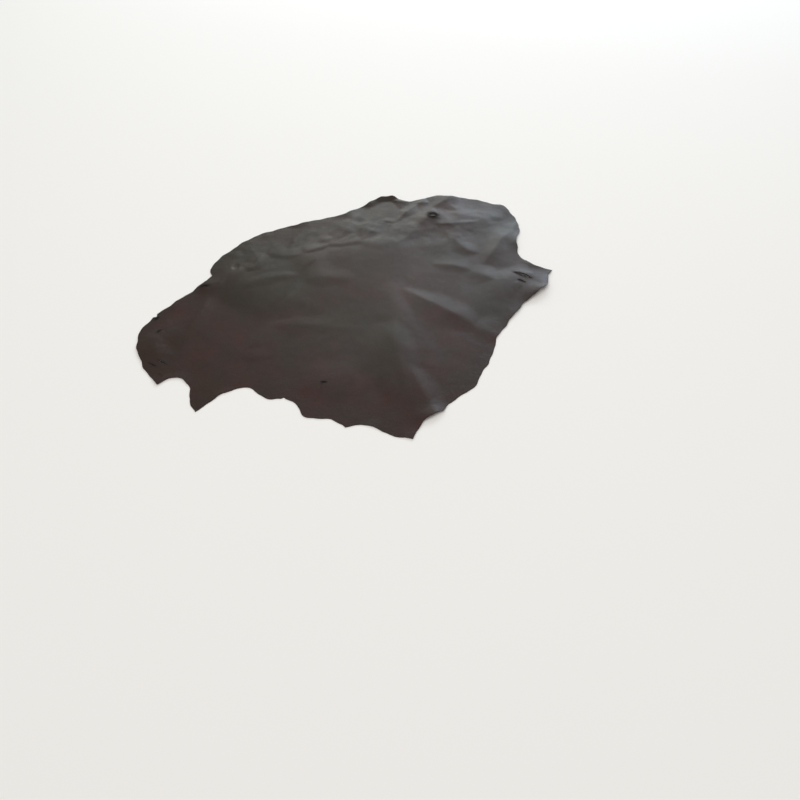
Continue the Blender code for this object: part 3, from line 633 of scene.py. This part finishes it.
# One mesh object from whole arrays, with its plan places as a UV map in metres.
def meshObject(name, points, triangles, slot, plan):
    mesh = bpy.data.meshes.new(name)
    mesh.vertices.add(len(points))
    mesh.vertices.foreach_set("co", points.ravel())
    mesh.loops.add(triangles.size)
    mesh.loops.foreach_set("vertex_index", triangles.ravel().astype(np.int32))
    mesh.polygons.add(len(triangles))
    mesh.polygons.foreach_set("loop_start", np.arange(0, triangles.size, 3, dtype=np.int32))
    mesh.polygons.foreach_set("material_index", slot.astype(np.int32))
    mesh.update(calc_edges=True)
    mesh.uv_layers.new(name="plan").data.foreach_set("uv", plan[triangles.ravel()].ravel())
    mesh.shade_smooth()
    mesh.set_sharp_from_angle(angle=math.radians(hide["sharpAngle"]))
    made = bpy.data.objects.new(name, mesh)
    bpy.context.scene.collection.objects.link(made)
    return made


# Linear colour from an sRGB hex value.
def linear(code):
    share = np.array([int(code[i:i + 2], 16) for i in (1, 3, 5)]) / 255
    return (*np.where(share <= 0.04045, share / 12.92, ((share + 0.055) / 1.055)**2.4), 1.0)


# Adds a node with its settings, and sets or links its inputs, which go by name or by number. A Mix
# node's go by number: 0 is the share, and the pair it mixes is 2 and 3 for numbers, 4 and 5 for
# vectors, 6 and 7 for colours, with the result at output 0, 1 or 2.
def addNode(tree, kind, settings, inputs):
    node = tree.nodes.new("ShaderNode" + kind)
    for name, value in settings.items():
        setattr(node, name, value)
    for key, value in inputs.items():
        if isinstance(value, bpy.types.NodeSocket):
            tree.links.new(value, node.inputs[key])
        else:
            node.inputs[key].default_value = value
    return node


# A new material with an empty tree but for its output and a Principled shader.
def newMaterial(name):
    material = bpy.data.materials.new(name)
    material.use_nodes = True
    return material, material.node_tree, material.node_tree.nodes["Principled BSDF"]


# Aniline dyed, lightly finished skin: dark brown with slow cloudy shifts of hue, a fine pebbled
# grain, a satin top coat that shines along the folds, and a little wear on the crests.
grainLook = {
    "brown": "#2d1f17",
    "redBrown": "#391d19",
    "greyBrown": "#292317",
    "crestBrown": "#3a2c22",
    # the near black of the painted shade round the cuts, towards which the faint patches also darken
    "shadeAndPatchDark": "#0c0908",
    "clouds": 238 * mm,         # slow drift from red brown to grey brown
    "cloudRange": (0.33, 0.69),
    "dyePull": -0.18,           # how far one whole step of the dye rows moves that drift
    "patches": 58.8 * mm,       # smaller patches of the plain brown
    "patchRange": (0.35, 0.7),
    "pebble": 2.4 * mm,         # real grain is 1 mm; drawn coarser so that it shows
    "pebbleDepth": 0.09 * mm,
    "pebbleFlank": 0.32,        # width of a pebble's flank, as a share of its size
    "pull": 8.33 * mm,          # size of the swirls that pull the pebbles' net out of true
    "pullShare": 0.004,         # share of the swirl mixed in, which moves the net by up to 4 mm
    "grooveDepth": 0.7,         # share of a flank that lies in the shade of the groove
    "grooveShade": 0.72,
    # Bending at which a crest begins to wear and at which it is worn most, and how much that is.
    "wornRange": (-0.15, -1.0),
    "wornMost": 0.5,
    "wrinkle": 11 * mm,         # slack skin's fine creases
    "wrinkleDepth": 0.48 * mm,  # for the whole range of the noise; a crease takes about a quarter
    "polish": 38.5 * mm,        # patches with more or less shine
    "polishRange": (0.3, 0.7),
    "roughRange": (0.36, 0.46),
    "shadeAndPatchRough": 0.95,
    "ior": 1.42,
    "specular": 0.32,
}


# The grain side's shader: colour is the dye's drift and patches, paler on the crests, darker in the
# grooves by painted shade, and darkened by the painted shade round the cuts and by faint darker,
# more matt patches; relief is the slack skin's creases and then the pebbles.
def grainLeather():
    look = grainLook
    material, tree, shader = newMaterial("aniline grain leather")
    plan = addNode(tree, "UVMap", {"uv_map": "plan"}, {}).outputs["UV"]
    bend, slack, dye, shadeAndPatch = [
        addNode(tree, "Attribute", {"attribute_name": name}, {}).outputs["Fac"]
        for name in ("bend", "slack", "dye", "shadeAndPatch")]

    cloud = addNode(tree, "TexNoise", {}, {
        "Vector": plan, "Scale": 1 / look["clouds"], "Detail": 3.0, "Roughness": 0.5})
    dyed = addNode(tree, "Math", {"operation": "MULTIPLY_ADD"}, {
        0: dye, 1: look["dyePull"], 2: cloud.outputs["Fac"]})
    cloudShare = addNode(tree, "MapRange", {}, {
        "Value": dyed.outputs[0],
        "From Min": look["cloudRange"][0], "From Max": look["cloudRange"][1]}).outputs["Result"]
    hue = addNode(tree, "Mix", {"data_type": "RGBA"}, {
        0: cloudShare, 6: linear(look["redBrown"]), 7: linear(look["greyBrown"])}).outputs[2]
    patch = addNode(tree, "TexNoise", {}, {
        "Vector": plan, "Scale": 1 / look["patches"], "Detail": 4.0, "Roughness": 0.6})
    patchShare = addNode(tree, "MapRange", {}, {
        "Value": patch.outputs["Fac"],
        "From Min": look["patchRange"][0], "From Max": look["patchRange"][1]}).outputs["Result"]
    tone = addNode(tree, "Mix", {"data_type": "RGBA"}, {
        0: patchShare, 6: hue, 7: linear(look["brown"])}).outputs[2]

    swirl = addNode(tree, "TexNoise", {}, {"Vector": plan, "Scale": 1 / look["pull"], "Detail": 2.0})
    pulled = addNode(tree, "Mix", {"data_type": "VECTOR"}, {
        0: look["pullShare"], 4: plan, 5: swirl.outputs["Color"]}).outputs[1]
    pebble = addNode(tree, "TexVoronoi", {"feature": "DISTANCE_TO_EDGE"}, {
        "Vector": pulled, "Scale": 1 / look["pebble"], "Randomness": 0.9})
    pebbleTop = addNode(tree, "MapRange", {"interpolation_type": "SMOOTHSTEP"}, {
        "Value": pebble.outputs["Distance"],
        "From Min": 0.0, "From Max": look["pebbleFlank"]}).outputs["Result"]

    worn = addNode(tree, "MapRange", {}, {
        "Value": bend, "From Min": look["wornRange"][0], "From Max": look["wornRange"][1],
        "To Max": look["wornMost"]}).outputs["Result"]
    crest = addNode(tree, "Mix", {"data_type": "RGBA"}, {
        0: worn, 6: tone, 7: linear(look["crestBrown"])}).outputs[2]
    # Painted shade: the colour falls to grooveShade in the pebbles' grooves.
    groove = addNode(tree, "MapRange", {}, {
        "Value": pebbleTop, "From Min": 0.0, "From Max": look["grooveDepth"],
        "To Min": look["grooveShade"], "To Max": 1.0}).outputs["Result"]
    grained = addNode(tree, "Mix", {"data_type": "RGBA", "blend_type": "MULTIPLY"}, {
        0: 1.0, 6: crest, 7: groove}).outputs[2]
    # Painted shade: near black round the cuts, and a faint darkening over the wide patches.
    colour = addNode(tree, "Mix", {"data_type": "RGBA"}, {
        0: shadeAndPatch, 6: grained, 7: linear(look["shadeAndPatchDark"])}).outputs[2]

    folds = addNode(tree, "TexNoise", {}, {
        "Vector": plan, "Scale": 1 / look["wrinkle"], "Detail": 5.0, "Roughness": 0.55,
        "Distortion": 0.8})
    slackFolds = addNode(tree, "Math", {"operation": "MULTIPLY"}, {0: folds.outputs["Fac"], 1: slack})
    wrinkleBump = addNode(tree, "Bump", {}, {
        "Height": slackFolds.outputs[0], "Strength": 1.0, "Distance": look["wrinkleDepth"]})
    pebbleBump = addNode(tree, "Bump", {}, {
        "Height": pebbleTop, "Strength": 0.7, "Distance": look["pebbleDepth"],
        "Normal": wrinkleBump.outputs["Normal"]})

    polish = addNode(tree, "TexNoise", {}, {
        "Vector": plan, "Scale": 1 / look["polish"], "Detail": 4.0, "Roughness": 0.6})
    rough = addNode(tree, "MapRange", {}, {
        "Value": polish.outputs["Fac"],
        "From Min": look["polishRange"][0], "From Max": look["polishRange"][1],
        "To Min": look["roughRange"][0], "To Max": look["roughRange"][1]}).outputs["Result"]
    matted = addNode(tree, "Mix", {}, {0: shadeAndPatch, 2: rough, 3: look["shadeAndPatchRough"]}).outputs[0]

    tree.links.new(colour, shader.inputs["Base Color"])
    tree.links.new(matted, shader.inputs["Roughness"])
    tree.links.new(pebbleBump.outputs["Normal"], shader.inputs["Normal"])
    shader.inputs["IOR"].default_value = look["ior"]
    shader.inputs["Specular IOR Level"].default_value = look["specular"]
    return material


# Flesh side: brushed suede of the same dye, paler and quite matt, with short loose fibres.
fleshLook = {
    "dark": "#33231d",
    "pale": "#5c453a",
    "nap": 2.38 * mm,           # real fibres are finer; drawn coarser so that they show
    "napDepth": 0.3 * mm,
    "clouds": 71.4 * mm,
    "rough": 0.95,
    "sheen": 0.25,
    "sheenRough": 0.5,
}


# The flesh side's shader: colour runs from dark to pale by the mean of a fine and a slow noise, and
# the fine one gives the relief.
def fleshSuede():
    look = fleshLook
    material, tree, shader = newMaterial("brushed flesh side")
    plan = addNode(tree, "UVMap", {"uv_map": "plan"}, {}).outputs["UV"]
    nap = addNode(tree, "TexNoise", {}, {
        "Vector": plan, "Scale": 1 / look["nap"], "Detail": 5.0, "Roughness": 0.7})
    cloud = addNode(tree, "TexNoise", {}, {"Vector": plan, "Scale": 1 / look["clouds"], "Detail": 4.0})
    share = addNode(tree, "Mix", {}, {0: 0.5, 2: nap.outputs["Fac"], 3: cloud.outputs["Fac"]}).outputs[0]
    colour = addNode(tree, "Mix", {"data_type": "RGBA"}, {
        0: share, 6: linear(look["dark"]), 7: linear(look["pale"])}).outputs[2]
    bump = addNode(tree, "Bump", {}, {
        "Height": nap.outputs["Fac"], "Strength": 0.8, "Distance": look["napDepth"]})
    tree.links.new(colour, shader.inputs["Base Color"])
    tree.links.new(bump.outputs["Normal"], shader.inputs["Normal"])
    shader.inputs["Roughness"].default_value = look["rough"]
    shader.inputs["Sheen Weight"].default_value = look["sheen"]
    shader.inputs["Sheen Roughness"].default_value = look["sheenRough"]
    return material


# Raw cut edge: packed fibres, dyed through and matt, so that it draws a dark line round the skin.
edgeLook = {
    "dark": "#1c1411",
    "pale": "#3b2d26",
    "fibre": 1.43 * mm,         # real fibres are finer; drawn coarser so that they show
    "layers": 4.0,              # how many times closer they lie through the thickness
    "fibreDepth": 0.25 * mm,
    "rough": 0.9,
}


# The cut edge's shader: one noise, flattened into layers, gives the colour and the relief.
def cutEdge():
    look = edgeLook
    material, tree, shader = newMaterial("raw cut edge")
    place = addNode(tree, "TexCoord", {}, {}).outputs["Object"]
    layered = addNode(tree, "Mapping", {}, {
        "Vector": place, "Scale": (1.0, 1.0, look["layers"])}).outputs["Vector"]
    fibre = addNode(tree, "TexNoise", {}, {
        "Vector": layered, "Scale": 1 / look["fibre"], "Detail": 4.0, "Roughness": 0.7})
    colour = addNode(tree, "Mix", {"data_type": "RGBA"}, {
        0: fibre.outputs["Fac"], 6: linear(look["dark"]), 7: linear(look["pale"])}).outputs[2]
    bump = addNode(tree, "Bump", {}, {
        "Height": fibre.outputs["Fac"], "Strength": 0.8, "Distance": look["fibreDepth"]})
    tree.links.new(colour, shader.inputs["Base Color"])
    tree.links.new(bump.outputs["Normal"], shader.inputs["Normal"])
    shader.inputs["Roughness"].default_value = look["rough"]
    return material


# How thick the skin is at each point: its thickness times 1 plus two sizes of unevenness.
def skinThickness(flat):
    share = np.ones(len(flat))
    for amount, cell, seed in hide["thickUneven"]:
        share += amount * unevenness(flat, cell, seed)
    return hide["thickness"] * share


# What the grain's shader reads at each point: its bending as a share of a full bend, its slackness,
# which falls off by exp(-distance/reach) from the rim, and the sums of the dye rows and of the rows of
# painted shade and faint patches, the latter with ragged edges.
def skinValues(flat, faces, under, toRim):
    bend = np.clip(bending(under, faces, hide["bendPasses"]) / hide["bendFull"], -1, 1)
    slack = hide["slackMiddle"] + (1 - hide["slackMiddle"]) * np.exp(-toRim / hide["slackReach"])
    dye = sum(swellHeight(flat, patch) for patch in hide["dye"]) / mm
    amount, cell, seed = hide["shadeAndPatchRagged"]
    ragged = 1 + amount * unevenness(flat, cell, seed)
    # Painted shade round the cuts and the nick, with faint darker patches over wide stretches.
    shadeAndPatch = np.clip(sum(swellHeight(flat, patch) for patch in hide["shadesAndPatches"]) / mm * ragged, 0, 1)
    return {"bend": bend, "slack": slack, "dye": dye, "shadeAndPatch": shadeAndPatch}


# The hide itself, from the flat pattern to the finished piece.
def makeHide():
    coarse, crisp = drivingRim()
    rim = fineRim(coarse, crisp)
    slits = [slitLoop(slit) for slit in hide["slits"]]
    flat, faces = flatPattern(rim, slits)
    print("hide: pattern of", len(faces), "triangles")
    toRim = inBlocks(distanceTo, flat, rim)
    height = undersideHeight(flat, toRim)
    middle = (coarse.min(axis=0) + coarse.max(axis=0)) / 2
    points, triangles, slot, plan = closedSheet(flat - middle, faces, height, skinThickness(flat))
    piece = meshObject("hideSkin", points, triangles, slot, plan)
    edgeOnly = np.zeros(len(points) - 2 * len(flat))
    for name, values in skinValues(flat, faces, points[:len(flat)], toRim).items():
        whole = np.concatenate([values, values, edgeOnly])
        piece.data.attributes.new(name, "FLOAT", "POINT").data.foreach_set("value", whole)
    for material in (grainLeather(), fleshSuede(), cutEdge()):
        piece.data.materials.append(material)
    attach(piece, "root")
    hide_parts("hide")
    print("hide:", len(triangles), "triangles in all")


# Plain pale matt floor, wide enough to reach past every view.
floorLook = {
    "reach": 20.0,              # metres from its middle to each side
    "colour": "#f7f6f4",
    "rough": 0.9,
    "specular": 0.2,
}


# The floor as one square face at height 0.
def makeFloor():
    look = floorLook
    reach = look["reach"]
    corners = [(-reach, -reach, 0), (reach, -reach, 0), (reach, reach, 0), (-reach, reach, 0)]
    mesh = bpy.data.meshes.new("floor")
    mesh.from_pydata(corners, [], [(0, 1, 2, 3)])
    floor = bpy.data.objects.new("floor", mesh)
    bpy.context.scene.collection.objects.link(floor)
    material, _, shader = newMaterial("pale matt floor")
    shader.inputs["Base Color"].default_value = linear(look["colour"])
    shader.inputs["Roughness"].default_value = look["rough"]
    shader.inputs["Specular IOR Level"].default_value = look["specular"]
    mesh.materials.append(material)
    print("floor: laid")


studio = {
    "fillColour": "#fffdfa",        # the even light of a pale room
    "fillStrength": 0.52,
    # Soft lights: name, place, width, height, power, colour.
    "lights": [
        ("ceiling", (0.0, -0.6, 4.2), 5.0, 5.0, 72.0, "#fffaf4"),
        ("window, left", (-0.4, 5.4, 2.2), 2.0, 1.6, 66.0, "#f3faf3"),
        ("window, right", (1.9, 5.4, 2.2), 2.6, 1.6, 120.0, "#dcebfb"),
    ],
    "lightAim": (0.05, 0.1, 0.0),   # where all of them point
    "lens": 34.0,                   # focal length in millimetres
    "cameraPlace": (0.1198, -1.5305, 1.30),
    "cameraPitch": 48.0,            # degrees below the horizon
}


# Soft daylight: an even pale room, a wide bright ceiling and two low windows behind the hide.
def makeStudio():
    scene = bpy.context.scene
    world = bpy.data.worlds.new("studio")
    world.use_nodes = True
    sky = world.node_tree.nodes["Background"]
    sky.inputs["Color"].default_value = linear(studio["fillColour"])
    sky.inputs["Strength"].default_value = studio["fillStrength"]
    scene.world = world

    for name, place, width, height, power, colour in studio["lights"]:
        lamp = bpy.data.lights.new(name, "AREA")
        lamp.shape = "RECTANGLE"
        lamp.size, lamp.size_y = width, height
        lamp.energy = power
        lamp.color = linear(colour)[:3]
        light = bpy.data.objects.new(name, lamp)
        light.visible_camera = False
        light.location = place
        away = np.array(place) - np.array(studio["lightAim"])
        light.rotation_euler = (math.atan2(math.hypot(away[0], away[1]), away[2]), 0,
                                math.atan2(away[0], -away[1]))
        scene.collection.objects.link(light)

    lens = bpy.data.cameras.new("camera")
    lens.lens = studio["lens"]
    camera = bpy.data.objects.new("camera", lens)
    camera.location = studio["cameraPlace"]
    camera.rotation_euler = (math.radians(90 - studio["cameraPitch"]), 0, 0)
    scene.collection.objects.link(camera)
    scene.camera = camera
    scene.view_settings.view_transform = "Standard"
    print("studio:", len(studio["lights"]), "lights and the camera")


makeHide()
makeFloor()
makeStudio()
